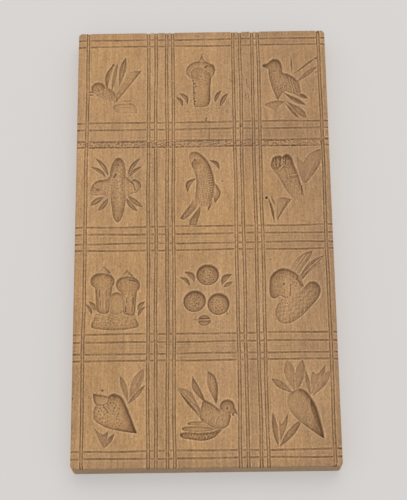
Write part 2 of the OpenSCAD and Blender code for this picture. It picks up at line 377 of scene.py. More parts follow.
def tall_mushroom(pic):
    stem = carve(pic, [
        (-4.9, 7.0), (-5.2, 0.0), (-5.1, -5.0), (-4.8, -10.6), (-4.2, -12.3), (-2.2, -12.7), (0.4, -12.6),
        (2.6, -11.4), (3.5, -8.6), (3.6, -2.0), (3.6, 7.0),
    ], 1.5, wall=2.0, fall=(0.07, 0))
    cap = dish(pic, (-1.2, 6.9), (7.2, 5.5), 1.1)
    dish(pic, (-2.6, 5.6), (3.7, 4.0), 1.8)
    dish(pic, (2.9, 6.8), (3.0, 4.2), 1.5, turn=-20)
    leaf(pic, (0.2, 8.4), (2.8, 10.8), 1.4, 1.9)
    carve(pic, [
        (-3.0, 11.2), (-1.8, 13.0), (-0.7, 15.9), (-0.7, 15.9), (0.4, 13.4), (1.4, 11.4),
    ], 0.6, wall=1.2)
    for start, end, width, bend in (
        ((-13.6, -6.9), (-10.2, -12.4), 2.0, 1.1), ((-12.0, -5.0), (-7.8, -11.2), 2.3, 1.5),
        ((5.7, -10.4), (9.1, -3.7), 2.1, 0.8), ((8.2, -12.6), (12.2, -5.2), 2.6, 0.6),
    ):
        leaf(pic, start, end, width, 1.0, bend=bend, lean=0.4, rib=0.2)
    prick(pic, [
        (-4.9, 1.9), (-4.2, 0.4), (-3.6, -0.8), (-4.6, -1.6), (-4.3, -4.4), (-4.5, -7.6), (-4.2, -9.0),
        (-4.4, -10.6),
    ], 0.55, 0.7)
    stipple(pic, stem, 1.6, 0.5, 0.14)
    stipple(pic, cap, 1.3, 0.5, 0.16)
    ground = (np.abs(pic.x) < 10.5) & (np.abs(pic.y + 15.0) < 1.9) & (pic.depth < 0.1)
    hatch(pic, ground, 96, 1.0, 2.0, 0.14)
    line(pic, (1.3, -18.4), (1.1, -20.4), 0.8, 0.8)


def perched_bird(pic):
    carve(pic, [
        (-6.6, -16.4), (-6.6, -16.4), (-9.0, -14.2), (-12.2, -12.0), (-9.6, -10.3), (-5.6, -9.6),
        (-2.4, -10.6), (-5.2, -13.0),
    ], 0.4, wall=1.0, fall=(0, 0.16), stain_and_shade=0.7)
    body = carve(pic, [
        (-6.4, 13.1), (-4.1, 11.8), (-3.0, 8.8), (-2.8, 5.6), (-0.4, 4.8), (2.8, 2.6), (4.6, 0.0),
        (5.2, -5.4), (2.6, -6.2), (0.6, -5.8), (-2.4, -5.0), (-5.6, -9.6), (-5.6, -9.6), (-7.7, -4.6),
        (-8.9, -0.4), (-9.7, 4.2), (-9.8, 7.2), (-11.2, 7.9), (-12.5, 8.6), (-12.5, 10.0), (-10.0, 10.9),
        (-8.4, 12.4),
    ], 1.4, wall=2.4, fall=(0, 0.02))
    prick(pic, [(-7.1, 6.7), (-6.3, 7.2)], 0.5, 0.6)
    for start, end in (((-5.2, -2.8), (-1.2, -0.4)), ((-3.0, -3.4), (-2.0, 0.2))):
        line(pic, start, end, 0.7, -0.5)
    feathers = body & (pic.y < 4)
    hatch(pic, feathers, 12, 0.9, 1.5, 0.2)
    for shift in (0, 1.3, 2.6):
        line(pic, (-0.4 + shift, 3.4 - shift), (1.2 + shift, -3.6 - 0.3 * shift), 0.6, 0.28)
    leaf(pic, (-1.4, -4.9), (9.2, -8.9), 2.5, 1.1, bend=0.5, belly=0.7, lean=0.3)
    leaf(pic, (-4.2, -4.0), (8.0, -12.3), 2.7, 1.1, bend=-0.6, belly=0.66, lean=0.3)
    leaf(pic, (-2.8, -9.4), (8.2, -19.2), 3.6, 1.0, bend=0.5, belly=0.68, lean=-0.2, rib=0.15, stain_and_shade=1.0)
    leaf(pic, (-3.2, -9.6), (4.4, -19.4), 2.0, 0.8, belly=0.65)
    stroke(pic, [(5.0, -5.2), (4.2, 0.6)], [1.8, 1.6], 0.8)
    leaf(pic, (0.6, 3.0), (14.0, 13.4), 1.5, 0.5, belly=0.66)
    leaf(pic, (3.0, -0.8), (14.4, 8.6), 2.6, 0.6, bend=0.3, belly=0.6, lean=-0.4)
    leaf(pic, (1.4, 14.6), (1.8, 4.2), 1.1, 0.6)
    prick(pic, [(13.7, 12.9)], 0.8, 0.8)
    prick(pic, [(13.4, 5.3)], 0.5, 0.7)
    line(pic, (3.6, 4.6), (10.4, 11.4), 0.7, 0.12)


def winged_insect(pic):
    wings = carve(pic, [
        (-2.6, 5.6), (-4.6, 4.0), (-8.6, 3.4), (-11.0, 1.8), (-12.6, -1.6), (-12.2, -4.2), (-9.4, -4.6),
        (-6.2, -4.4), (-2.8, -6.2), (3.6, -5.4), (8.2, -3.8), (9.9, -3.2), (11.9, -0.4), (11.2, 2.0),
        (8.6, 3.8), (6.4, 2.8), (3.8, 4.6),
    ], 0.7, wall=1.6, fall=(0, 0.08))
    body = carve(pic, [
        (0.8, 15.0), (-1.4, 13.4), (-2.9, 9.6), (-3.3, 5.6), (-3.0, 0.0), (-2.9, -5.2), (-2.2, -11.0),
        (-1.5, -15.6), (0.6, -18.4), (2.6, -16.2), (4.0, -11.2), (4.6, -4.6), (4.4, 4.6), (4.2, 10.0),
        (3.0, 13.6),
    ], 1.3, wall=2.8, steep=0.25)
    dish(pic, (-9.2, -0.8), (2.9, 2.6), 1.0, turn=25)
    dish(pic, (-8.9, -1.1), (1.6, 1.2), 1.3, turn=25)
    line(pic, (4.6, 4.4), (7.8, 1.6), 0.8, 0.7)
    line(pic, (7.8, 1.6), (9.0, -1.8), 0.7, 0.6)
    line(pic, (-10.6, 0.6), (-5.2, -1.8), 0.6, -0.3)
    dish(pic, (0.2, 11.6), (1.7, 1.9), 1.5, steep=0.3)
    prick(pic, [(0.6, 11.6), (1.0, -15.6)], 0.5, 0.5)
    line(pic, (-0.5, 6.8), (-1.4, 5.2), 1.2, 0.7)
    stipple(pic, body, 1.3, 0.45, 0.22)
    stipple(pic, wings, 1.4, 0.5, 0.14)
    for start, end, width, bend in (
        ((-10.4, 14.8), (-3.9, 5.0), 2.2, 1.0), ((-12.7, 10.3), (-5.0, 4.6), 2.0, 0.9),
        ((5.4, 5.4), (11.7, 14.6), 2.3, 1.0), ((5.6, 4.4), (12.2, 10.2), 1.9, 0.7),
        ((-6.0, -5.2), (-12.6, -9.8), 2.9, -0.2), ((-3.9, -5.7), (-9.0, -12.4), 2.5, 0.6),
        ((12.7, -11.0), (5.4, -4.7), 2.6, 0.2), ((10.3, -13.0), (4.6, -5.8), 2.4, 0.6),
    ):
        leaf(pic, start, end, width, 0.9, bend=bend, lean=0.4, rib=0.3)


def fish(pic):
    fins = carve(pic, [
        (-5.2, -7.0), (-2.6, -8.6), (-4.2, -12.0), (-7.9, -16.2), (-9.8, -17.6), (-9.8, -17.6),
        (-11.8, -16.8), (-11.8, -16.8), (-9.0, -12.6), (-6.6, -9.4),
    ], 0.7, wall=0.8, fall=(-0.04, 0), fade=((-6.4, -12.6), (-3.6, -7.4)), stain_and_shade=1.0)
    fins |= carve(pic, [
        (-1.8, -10.0), (-1.8, -10.0), (-1.9, -13.4), (-3.0, -17.4), (-4.0, -20.6), (-4.0, -20.6),
        (-7.2, -20.3), (-7.2, -20.3), (-7.2, -17.8), (-4.6, -14.0),
    ], 0.7, wall=0.8, fade=((-3.4, -14.4), (-1.8, -9.8)), stain_and_shade=1.0)
    hatch(pic, fins, 57, 0.8, 3.0, 0.12)
    leaf(pic, (2.2, 12.8), (7.2, 7.6), 2.2, 1.0, bend=1.5, lean=0.5)
    leaf(pic, (-7.8, -3.8), (-3.6, 3.6), 2.8, 1.0, bend=2.0, lean=0.5)
    carve(pic, [
        (4.8, 1.6), (4.8, 1.6), (6.6, -0.8), (7.9, -3.6), (7.2, -6.2), (4.8, -9.6), (4.8, -9.6),
        (4.2, -5.0),
    ], 1.1, wall=1.2, fall=(0.06, 0))
    leaf(pic, (3.6, -7.4), (1.4, -13.6), 1.4, 0.7, lean=-0.2)
    body = carve(pic, [
        (-5.6, 17.5), (-2.7, 17.1), (0.3, 14.6), (2.9, 10.4), (4.4, 5.2), (5.1, 0.2), (4.7, -4.2),
        (3.4, -7.4), (1.8, -10.4), (-0.6, -11.0), (-3.0, -9.2), (-4.4, -7.4), (-4.2, -3.4), (-3.8, 1.4),
        (-4.4, 5.8), (-5.6, 9.0), (-6.9, 12.2), (-7.3, 15.4),
    ], 1.5, wall=3.4, fall=(0.08, 0.0), fade=((0.6, -3.6), (-1.4, -12.4)), steep=0.3)
    gill = dish(pic, (-2.9, 11.3), (3.3, 3.3), 1.9)
    dish(pic, (-3.2, 11.6), (2.2, 2.2), 2.1)
    prick(pic, [(-4.5, 13.7)], 0.55, 0.8)
    scales = body & ~gill & (pic.y < 10)
    hatch(pic, scales, 8, 0.95, 1.3, 0.2)
    for k in range(10):
        y = 6.8 - 1.25 * k
        line(pic, (2.0 + 0.12 * k, y), (4.3, y + 0.2), 0.6, 0.3)
    prick(pic, [(8.6, 1.9)], 0.5, 0.7)


def tulip(pic):
    carve(pic, [
        (4.8, 0.9), (4.8, 0.9), (2.9, 8.0), (2.3, 15.0), (2.3, 15.0), (5.5, 11.1), (5.5, 11.1),
        (7.4, 14.2), (10.4, 16.7), (14.3, 18.3), (14.3, 18.3), (13.9, 10.8), (10.6, 5.2), (6.7, 0.2),
        (6.7, 0.2),
    ], 0.45, wall=0.8, fall=(0.1, -0.05), stain_and_shade=0.9)
    line(pic, (6.6, 2.6), (11.6, 13.4), 0.8, -0.12)
    leaf(pic, (-11.7, -6.6), (-9.0, -19.8), 1.5, 0.9, bend=0.5, lean=-0.3)
    leaf(pic, (-10.2, -6.0), (-8.4, -11.0), 1.4, 0.4)
    carve(pic, [
        (-7.0, -7.2), (-7.0, -7.2), (-4.0, -6.6), (-0.5, -7.9), (-0.5, -7.9), (-4.4, -13.6),
        (-7.6, -18.8), (-7.6, -18.8), (-8.0, -14.6),
    ], 0.45, wall=0.7, fall=(0.14, -0.04), stain_and_shade=0.7)
    line(pic, (-2.6, -8.6), (-7.2, -17.2), 1.0, 0.25)
    body = carve(pic, [
        (-9.0, 12.4), (-8.0, 14.2), (-5.8, 15.0), (-4.4, 14.3), (-4.4, 14.3), (-2.4, 15.7), (-0.5, 14.8),
        (0.4, 12.4), (1.7, 8.8), (3.0, 5.0), (4.1, 0.8), (5.2, -3.4), (5.8, -7.4), (3.6, -9.2),
        (0.4, -7.4), (-2.4, -4.2), (-4.4, -0.4), (-6.4, 3.6), (-8.4, 6.4), (-10.0, 9.2), (-9.9, 11.0),
    ], 1.2, wall=2.4, fall=(0.03, 0.06), fade=((3.2, -2.4), (6.2, -9.0)))
    crown = carve(pic, [
        (-9.6, 10.4), (-9.0, 13.6), (-6.6, 14.8), (-5.2, 13.6), (-3.6, 14.6), (-1.4, 15.4), (0.3, 13.4),
        (0.9, 10.2), (-1.8, 9.6), (-4.2, 10.6), (-6.4, 7.8), (-8.8, 8.0),
    ], 1.5, wall=0.9, steep=0.3, stain_and_shade=1.0)
    stipple(pic, crown, 1.1, 0.5, 0.35)
    for start, end in (
        ((-5.1, 14.2), (-5.6, 9.6)), ((-2.4, 15.2), (-2.8, 11.0)), ((-7.4, 14.6), (-7.4, 10.4)),
    ):
        line(pic, start, end, 0.8, 0.5)
    line(pic, (-6.3, 13.2), (-6.5, 9.6), 0.7, -0.35)
    line(pic, (-6.0, 7.6), (-3.9, 10.2), 0.8, -0.6)
    line(pic, (-3.9, 10.2), (-1.4, 9.4), 0.8, -0.6)
    line(pic, (-2.4, 8.8), (-1.3, 3.0), 0.8, -0.25)
    line(pic, (-1.4, 4.6), (2.4, 5.2), 0.8, -0.4)
    line(pic, (-2.6, 2.8), (1.6, 4.0), 0.6, 0.3)
    hatch(pic, body & (pic.y < 2), -65, 1.1, 3.5, 0.14)
    line(pic, (4.6, -1.0), (4.4, -5.2), 0.9, 0.5)
    prick(pic, [(-12.4, -6.8)], 0.75, 2.0)


def paired_mushrooms(pic):
    mound = carve(pic, [
        (-8.4, -9.0), (-10.2, -12.6), (-11.0, -16.2), (-6.8, -17.3), (-0.8, -17.8), (5.8, -17.4),
        (10.8, -16.0), (9.6, -12.0), (8.2, -9.4), (0, -8.0),
    ], 0.6, wall=1.4, fall=(0, -0.16), fade=((0, -12.5), (0, -8.0)))
    stipple(pic, mound, 1.2, 0.45, 0.26)
    carve(pic, [
        (-2.4, -9.4), (-2.4, -1.6), (-1.0, 0.2), (0.6, 0.7), (2.4, 0.0), (3.2, -1.8), (3.3, -9.4),
    ], 0.9, wall=1.6, fall=(0, 0.03))
    carve(pic, [
        (-9.2, 7.0), (-9.1, -2.6), (-8.7, -8.0), (-5.8, -9.8), (-2.8, -8.8), (-2.2, -2.6), (-1.6, 7.0),
    ], 1.3, wall=1.6)
    carve(pic, [
        (3.0, 4.6), (3.1, -5.0), (3.8, -9.6), (6.2, -10.6), (8.9, -10.4), (9.6, -4.0), (9.6, 4.6),
    ], 1.3, wall=1.6)
    for start, end in (
        ((-7.4, 2.0), (-7.4, -1.2)), ((-4.4, 2.0), (-4.4, -1.0)), ((-7.0, -3.2), (-7.0, -5.2)),
        ((-4.4, -3.2), (-4.4, -6.6)), ((5.2, -1.8), (5.2, -4.2)), ((8.2, -1.8), (8.2, -5.0)),
        ((4.8, -6.0), (4.8, -8.6)), ((7.7, -6.2), (7.7, -8.6)),
    ):
        line(pic, start, end, 0.6, 0.5)
    for at, side in ((-5.4, -1), (5.2, 1)):
        tip = 13.6 if side < 0 else 11.7
        carve(pic, [
            (at - 2.6, tip - 3.6), (at, tip), (at, tip), (at + 3.2, tip - 3.6),
        ], 0.5, wall=1.0, fall=(0.2, 0))
    left = dish(pic, (-6.1, 6.1), (5.8, 4.3), 1.6, turn=-4)
    right = dish(pic, (5.8, 4.1), (5.8, 4.5), 1.6, turn=-8)
    stipple(pic, left | right, 1.4, 0.5, 0.16)
    line(pic, (6.4, 7.0), (9.0, 6.2), 0.9, 0.4)
    for start, end, width in (
        ((-12.4, -3.6), (-9.3, -8.6), 2.3), ((-14.0, -4.8), (-10.8, -10.4), 1.9),
        ((10.4, -8.8), (13.9, -4.0), 2.3), ((10.6, -11.4), (14.0, -6.6), 1.9),
    ):
        leaf(pic, start, end, width, 0.9, bend=0.7, lean=0.4, rib=0.2)


def three_berries(pic):
    for at, turn in (((1.1, 8.6), 0), ((-5.1, -4.2), 40), ((5.9, -5.7), 80)):
        berry = dish(pic, at, (5.4, 5.2), 2.0, turn, steep=0.6)
        away = np.hypot(pic.x - at[0], pic.y - at[1])
        # Painted shade: a dark ring at each berry's rim, fading to pale in its middle.
        pic.stain_and_shade = np.where(berry, 1.1 - 1.2 * smooth_step((5.2 - away) / 2.6), pic.stain_and_shade)
        stipple(pic, berry & (away < 3.6), 1.15, 0.42, 0.4)
        stipple(pic, berry & (away < 2.8), 1.3, 0.5, -0.3)
    line(pic, (9.6, -9.4), (9.9, -11.0), 0.8, 0.5)
    leaf(pic, (-9.9, 10.0), (-5.2, 4.8), 2.8, 1.0, bend=1.5, lean=0.5)
    leaf(pic, (-12.2, 7.5), (-7.2, 2.8), 2.1, 0.9, bend=1.1, lean=0.5)
    leaf(pic, (7.5, 3.2), (12.5, 8.7), 3.2, 1.0, bend=1.3, lean=0.3)
    leaf(pic, (8.2, 2.2), (12.9, 5.0), 2.1, 0.9, bend=0.2, rib=0.5)
    dish(pic, (-0.7, -13.6), (3.1, 2.7), 1.0)
    line(pic, (-3.4, -13.4), (2.0, -13.2), 0.7, -0.7)
    line(pic, (-2.6, -12.5), (1.4, -12.3), 0.6, 0.4)
    line(pic, (-5.6, -13.2), (-3.6, -13.3), 0.6, 0.3)
    line(pic, (5.9, 4.6), (5.9, -0.2), 0.5, 0.12)


def rabbit(pic):
    carve(pic, [
        (-2.4, 10.2), (0.4, 15.4), (4.4, 18.6), (8.6, 19.9), (8.6, 19.9), (7.4, 16.4), (4.4, 12.2),
        (1.2, 8.0),
    ], 0.45, wall=1.0, fall=(0.06, 0), stain_and_shade=0.7)
    carve(pic, [
        (1.6, 6.4), (5.0, 12.0), (9.0, 15.6), (14.2, 17.6), (14.2, 17.6), (11.0, 13.8), (7.2, 10.4),
        (3.4, 5.6),
    ], 0.6, wall=0.9, fall=(0.03, -0.06), stain_and_shade=0.8)
    for shift in (-1.6, 0.0):
        line(pic, (0.4 + shift, 9.4), (6.2 + shift, 17.8), 0.7, -0.25)
    line(pic, (4.4, 9.0), (12.2, 16.2), 0.8, -0.4)
    line(pic, (3.6, 6.8), (11.4, 13.6), 0.7, 0.35)
    body = carve(pic, [
        (3.4, 1.4), (6.4, 4.4), (9.4, 4.4), (11.2, 2.4), (11.5, -0.8), (9.8, -4.2), (6.8, -7.6),
        (3.6, -11.0), (0.2, -13.7), (-2.8, -15.4), (-5.8, -15.8), (-8.2, -14.6), (-9.7, -11.8),
        (-9.5, -8.6), (-7.6, -4.6), (-4.0, -1.6), (0, 0),
    ], 1.2, wall=3.4, fall=(0.06, -0.02), steep=0.3)
    for k in range(9):
        shift = 1.3 * k
        line(pic, (-6.4 + shift, -11.8 + 0.9 * shift), (-4.2 + shift, -8.4 + 0.9 * shift), 0.5, -0.2)
    hatch(pic, body, -50, 0.95, 2.2, 0.22)
    head = carve(pic, [
        (-3.1, 11.0), (-5.8, 11.4), (-8.3, 10.6), (-10.6, 8.8), (-11.9, 6.4), (-12.2, 3.4), (-12.3, -0.2),
        (-11.6, -2.6), (-10.0, -3.6), (-8.4, -2.8), (-7.2, -2.2), (-4.6, -3.6), (-1.4, -3.6), (2.0, -2.6),
        (4.0, -0.6), (3.8, 3.0), (2.4, 6.4), (0.0, 9.4),
    ], 1.7, wall=3.4, fall=(-0.04, 0.03), fade=((-3.0, 0.0), (5.0, -6.5)))
    dish(pic, (-5.4, 4.2), (1.6, 1.7), 2.0)
    prick(pic, [(-5.4, 4.2)], 0.6, 0.5)
    stipple(pic, head & (pic.x > -10), 1.2, 0.5, 0.2)
    line(pic, (-2.2, 3.8), (-2.6, -2.0), 0.8, 0.3)
    line(pic, (0.6, 6.8), (3.0, 2.6), 0.9, 0.4)
    prick(pic, [(-11.4, 15.6)], 0.7, 0.3)


def strawberry(pic):
    carve(pic, [
        (-9.9, 6.2), (-9.9, 6.2), (-6.2, 5.6), (-2.0, 4.4), (-1.6, 2.0), (-5.4, 0.9), (-8.1, 0.6),
        (-9.4, 2.8),
    ], 0.9, wall=1.0, fall=(-0.05, 0))
    body = carve(pic, [
        (-3.6, 2.4), (-3.0, 4.4), (-1.0, 6.0), (1.1, 5.8), (3.3, 4.4), (4.8, 2.0), (6.8, -2.8),
        (8.6, -7.6), (10.4, -12.5), (10.4, -12.5), (5.2, -11.8), (0.6, -10.9), (-3.2, -9.9), (-6.2, -8.3),
        (-8.6, -6.6), (-9.6, -4.2), (-9.2, -0.8), (-8.0, 0.7), (-6.0, 1.2),
    ], 1.8, wall=2.4, fall=(0.06, -0.01), steep=0.5)
    carve(pic, [
        (4.2, 2.0), (6.6, -2.8), (8.5, -7.6), (10.3, -12.4), (7.8, -9.6), (5.6, -4.4),
    ], 2.5, wall=1.2, stain_and_shade=1.0)
    line(pic, (-7.6, 0.9), (-4.8, 1.0), 0.8, 0.5)
    line(pic, (-4.2, 0.6), (-2.2, -2.2), 0.8, -0.3)
    line(pic, (-4.9, 0.4), (-2.8, -2.6), 0.6, 0.4)
    prick(pic, [
        (-1.8, 2.1), (0.8, 1.0), (0.1, -0.2), (-7.1, -2.1), (-5.2, -5.1), (1.0, -4.3), (1.8, -3.2),
    ], 0.5, 0.5)
    stipple(pic, body & (pic.x < 4) & (pic.y > -9), 1.7, 0.45, 0.28)
    stipple(pic, body & (pic.x < 3) & (pic.y > -7), 2.6, 0.6, -0.4)
    line(pic, (1.0, -9.8), (8.6, -11.4), 0.6, 0.25)
    leaf(pic, (2.8, 14.0), (6.4, 2.0), 3.0, 0.6, belly=0.4, lean=-0.3, stain_and_shade=0.9)
    leaf(pic, (6.4, 3.0), (13.2, 17.4), 4.8, 0.6, belly=0.58, lean=-0.3, rib=0.25, stain_and_shade=0.9)
    leaf(pic, (6.0, 0.8), (14.2, 9.9), 2.5, 0.8, lean=0.3, stain_and_shade=0.8)
    carve(pic, [
        (-9.1, -9.4), (-9.1, -9.4), (-6.2, -12.2), (-4.6, -12.6), (-2.4, -11.0), (-2.4, -11.0),
        (-3.0, -15.0), (-4.6, -19.2), (-4.6, -19.2), (-7.2, -14.4),
    ], 0.45, wall=0.7, fall=(0.06, 0), stain_and_shade=1.0)
    leaf(pic, (0.4, -12.2), (-4.5, -19.0), 2.4, 0.7, stain_and_shade=0.9)
    prick(pic, [(-5.5, 7.4)], 0.7, 0.6)


def flying_bird_right(pic):
    wing = carve(pic, [
        (0.5, 16.2), (0.5, 16.2), (3.5, 14.0), (4.8, 10.9), (5.2, 7.5), (4.9, 2.6), (4.2, 0.2),
        (4.2, 0.2), (2.6, 3.8), (0.8, 7.5), (0.1, 10.9),
    ], 1.0, wall=1.8, fall=(0.16, 0))
    carve(pic, [
        (-6.4, 13.8), (-6.4, 13.8), (-3.6, 9.0), (-1.2, 3.7), (-0.8, 1.2), (-0.8, 1.2), (-4.4, 4.6),
        (-6.8, 8.6),
    ], 0.9, wall=1.0, fall=(0.1, 0), stain_and_shade=1.0)
    carve(pic, [
        (-13.6, 8.4), (-13.6, 8.4), (-9.8, 7.8), (-6.8, 6.0), (-5.0, 2.5), (-2.9, -2.2), (-2.4, -5.4),
        (-2.4, -5.4), (-6.2, -0.6), (-10.2, 4.4),
    ], 0.6, wall=0.9, fall=(0.02, -0.08), stain_and_shade=0.9)
    leaf(pic, (-13.4, 8.2), (-2.4, -5.2), 1.6, 1.2, bend=-0.5, belly=0.6, stain_and_shade=1.0)
    line(pic, (-10.6, 6.6), (-4.4, 0.2), 0.8, -0.25)
    leaf(pic, (-5.6, -2.6), (-2.0, -6.6), 1.2, 0.6)
    tail = carve(pic, [
        (-8.4, -7.8), (-4.0, -7.2), (2.0, -8.2), (1.0, -9.6), (-4.4, -9.4), (-8.4, -9.0),
    ], 0.5, wall=0.8)
    tail |= carve(pic, [
        (-11.2, -10.2), (-8.6, -9.5), (-2.0, -9.6), (4.2, -10.4), (2.0, -11.7), (-4.0, -12.2),
        (-10.4, -11.6),
    ], 0.65, wall=0.8)
    lower = carve(pic, [
        (-12.2, -12.8), (-9.0, -12.1), (-3.0, -12.5), (2.4, -12.0), (7.4, -10.2), (5.6, -12.6),
        (2.4, -15.2), (-2.0, -16.2), (-7.4, -15.6), (-11.6, -14.6),
    ], 1.1, wall=1.3, fall=(0, -0.15))
    hatch(pic, lower, 62, 1.2, 2.0, 0.2)
    hatch(pic, tail, 0, 0.7, 5.0, 0.1)
    body = carve(pic, [
        (-1.6, 2.6), (0.8, 1.8), (3.5, 0.0), (6.2, -2.2), (10.6, -4.2), (10.4, -7.2), (9.5, -9.5),
        (6.9, -10.9), (3.0, -10.4), (-1.2, -8.2), (-3.0, -6.4), (-3.4, -3.6), (-2.6, -0.6),
    ], 1.2, wall=2.2)
    hatch(pic, body, -30, 1.0, 1.5, 0.12)
    stipple(pic, body | wing, 1.5, 0.5, 0.1)
    dish(pic, (9.2, -0.8), (3.5, 3.5), 1.6)
    prick(pic, [(9.2, -1.1)], 0.55, 0.9)
    carve(pic, [
        (11.6, -0.2), (13.0, -1.8), (14.0, -4.8), (14.0, -4.8), (12.5, -3.8), (12.2, -5.2), (11.0, -4.0),
    ], 1.1, wall=1.0, stain_and_shade=0.9)


def carrot(pic):
    leaf(pic, (-1.4, 4.6), (-5.0, 21.0), 5.2, 0.6, belly=0.62, bend=0.4, rib=0.15, stain_and_shade=0.9)
    leaf(pic, (-1.4, 4.6), (2.1, 20.9), 4.6, 0.8, belly=0.6, lean=-0.5, stain_and_shade=1.0)
    leaf(pic, (-2.4, 4.8), (-12.4, 12.0), 3.6, 0.8, belly=0.6, lean=0.5, stain_and_shade=0.7)
    leaf(pic, (5.2, 3.6), (3.0, 16.4), 2.2, 0.7, lean=0.2, stain_and_shade=0.9)
    carve(pic, [
        (5.2, 4.0), (5.2, 4.0), (5.0, 8.8), (6.2, 15.0), (8.4, 14.0), (12.6, 18.8), (12.6, 18.8),
        (11.4, 12.4), (8.4, 7.2),
    ], 0.45, wall=0.8, fall=(0.08, 0), stain_and_shade=1.0)
    leaf(pic, (5.4, 3.0), (14.4, 15.2), 4.2, 0.7, belly=0.6, lean=-0.5, stain_and_shade=0.9)
    for x, y in ((8.0, 11.8), (9.6, 14.0), (10.6, 11.4)):
        line(pic, (5.8, 5.2), (x, y), 0.5, 0.12)
    leaf(pic, (-12.2, -3.4), (-10.0, -19.4), 2.8, 0.9, bend=-0.2, lean=-0.4, stain_and_shade=0.9)
    carve(pic, [
        (-9.4, -6.0), (-9.4, -6.0), (-8.4, -8.8), (-5.2, -3.8), (-5.2, -3.8), (-5.8, -9.4), (-9.0, -17.4),
        (-9.0, -17.4), (-9.6, -12.0),
    ], 0.4, wall=0.8, stain_and_shade=1.0)
    leaf(pic, (0.6, -7.2), (-9.6, -19.4), 3.4, 1.0, belly=0.45, lean=0.5, stain_and_shade=0.9)
    carve(pic, [
        (-4.2, 5.2), (-5.4, 3.0), (-5.6, 0.2), (-4.5, -2.9), (-2.3, -5.9), (0.5, -8.5), (3.8, -11.1),
        (7.1, -13.6), (10.6, -16.0), (10.6, -16.0), (9.9, -11.0), (8.7, -5.6), (7.2, -1.2), (5.6, 2.6),
        (4.6, 4.6), (2.4, 6.6), (0, 7.4), (-2.2, 6.4),
    ], 1.7, wall=2.2, fall=(0.09, 0))
    carve(pic, [
        (5.0, 3.2), (7.6, -1.0), (9.9, -10.6), (10.4, -15.4), (8.2, -11.8), (5.8, -5.6), (4.8, -1.0),
    ], 2.6, wall=1.2, stain_and_shade=1.0)
    hatch(pic, pic.depth > 1.4, 60, 1.5, 4.0, 0.08)


PICTURES = (
    flying_bird_left, tall_mushroom, perched_bird,
    winged_insect, fish, tulip,
    paired_mushrooms, three_berries, rabbit,
    strawberry, flying_bird_right, carrot,
)


# ---- The cut face as a map of depth ----

COLUMN_LINES = sorted(
    [column_x(i) + side * CELL_W / 2 for i in range(COLUMNS) for side in (-1, 1)]
    + [(column_x(i) + column_x(i + 1)) / 2 + side * COLUMN_STRIP_W / 2
       for i in range(COLUMNS - 1) for side in (-1, 1)]
)
ROW_LINES = sorted(
    (row_y(j) + side * reach for j in range(ROWS) for side in (-1, 1)
     for reach in (CELL_L / 2, CELL_L / 2 + RAIL_W)), reverse=True,
)
# How far each ruled line strays to the right of its place, and below it, as the hand left them.
COLUMN_STRAYS = (0.2, 0.4, 0.5, 0.5, 0.1, 0.1, 0, 0.5, 0.1, 0.4)
ROW_STRAYS = (0.1, 0.2, 0, 0.2, 0.9, 0.7, 0.2, 0.5, -0.1, -0.1, -0.8, -0.4, -0.1, -0.3, 0, 0)


def sample_places(length, lines):
    """Sample places along a side: close together at the two edges and at the ruled lines."""
    near_edge = np.array([0, 0.05, 0.13, 0.24, 0.38, 0.55, 0.75])
    places = [near_edge[-1]]
    while places[-1] < length - near_edge[-1]:
        to_line = min(abs(places[-1] - length / 2 - line) for line in lines)
        places.append(places[-1] + (GROOVE_STEP if to_line < GROOVE_W else MESH_STEP))
    inner = np.array(places)
    inner = near_edge[-1] + (inner - inner[0]) * (length - 2 * near_edge[-1]) / (inner[-1] - inner[0])
    return np.concatenate([near_edge[:-1], inner, length - near_edge[-2::-1]]) - length / 2


def ruled_groove(across, along, half_w, depth, length, ridge=0.0, lean=0.0):
    """One hand-ruled groove. Its width and depth change along the way, and its far ends break
    out deeper. ridge leaves the middle of its floor standing, as two passes of a narrow tool
    do, and lean makes its wall on the positive side the gentler one."""
    width = half_w * (1 + 0.05 * wander(along, 9, 1) + 0.04 * wander(along, 2.3, 1))
    cut = depth * (1 + 0.15 * wander(along, 31, 1) + 0.1 * wander(along, 5, 1))
    cut = cut * (1 + 1.1 * np.exp(-((length / 2 - np.abs(along)) / 0.9) ** 2))
    v = across / width
    wall = np.where(v > 0, (1 - v) / (0.4 + lean), (1 + v) / 0.4)
    return cut * smooth_step(wall) * (1 - ridge * smooth_step(1 - np.abs(v) / 0.6))


def ruled_grid(xs, ys):
    """Depth of all the ruled grooves: the long ones first, then the cross ones."""
    depth = np.zeros((len(ys), len(xs)))
    for x, stray in zip(COLUMN_LINES, COLUMN_STRAYS):
        path = x + stray + wander(ys, 90, 0.12)
        across = xs[None, :] - path[:, None]
        cut = ruled_groove(across, ys[:, None], GROOVE_W / 2, GROOVE_D, BOARD_L, ridge=0.45)
        depth = np.maximum(depth, cut)
    for y, stray in zip(ROW_LINES, ROW_STRAYS):
        path = y - stray + wander(xs, 70, 0.12)
        across = path[None, :] - ys[:, None]
        cut = ruled_groove(across, xs[None, :], GROOVE_W * 0.33, GROOVE_D * 0.65, BOARD_W, lean=0.45)
        depth = np.maximum(depth, cut)
    return depth


def worn_rail(xs, ys):
    """The rail over the second row of pictures, where the wood is rubbed down and pitted."""
    middle = (ROW_LINES[4] + ROW_LINES[5] - ROW_STRAYS[4] - ROW_STRAYS[5]) / 2 + wander(xs, 60, 0.2)
    reach = np.abs(ys[:, None] - middle[None, :]) / (0.46 * RAIL_W)
    pits = np.clip(noise_map(xs, ys, (0.9, 0.6)) + 0.5 * noise_map(xs, ys, (0.45, 0.4)), -0.5, 1)
    return smooth_step((1.25 - reach) / 0.5) * (0.3 + 0.34 * pits)


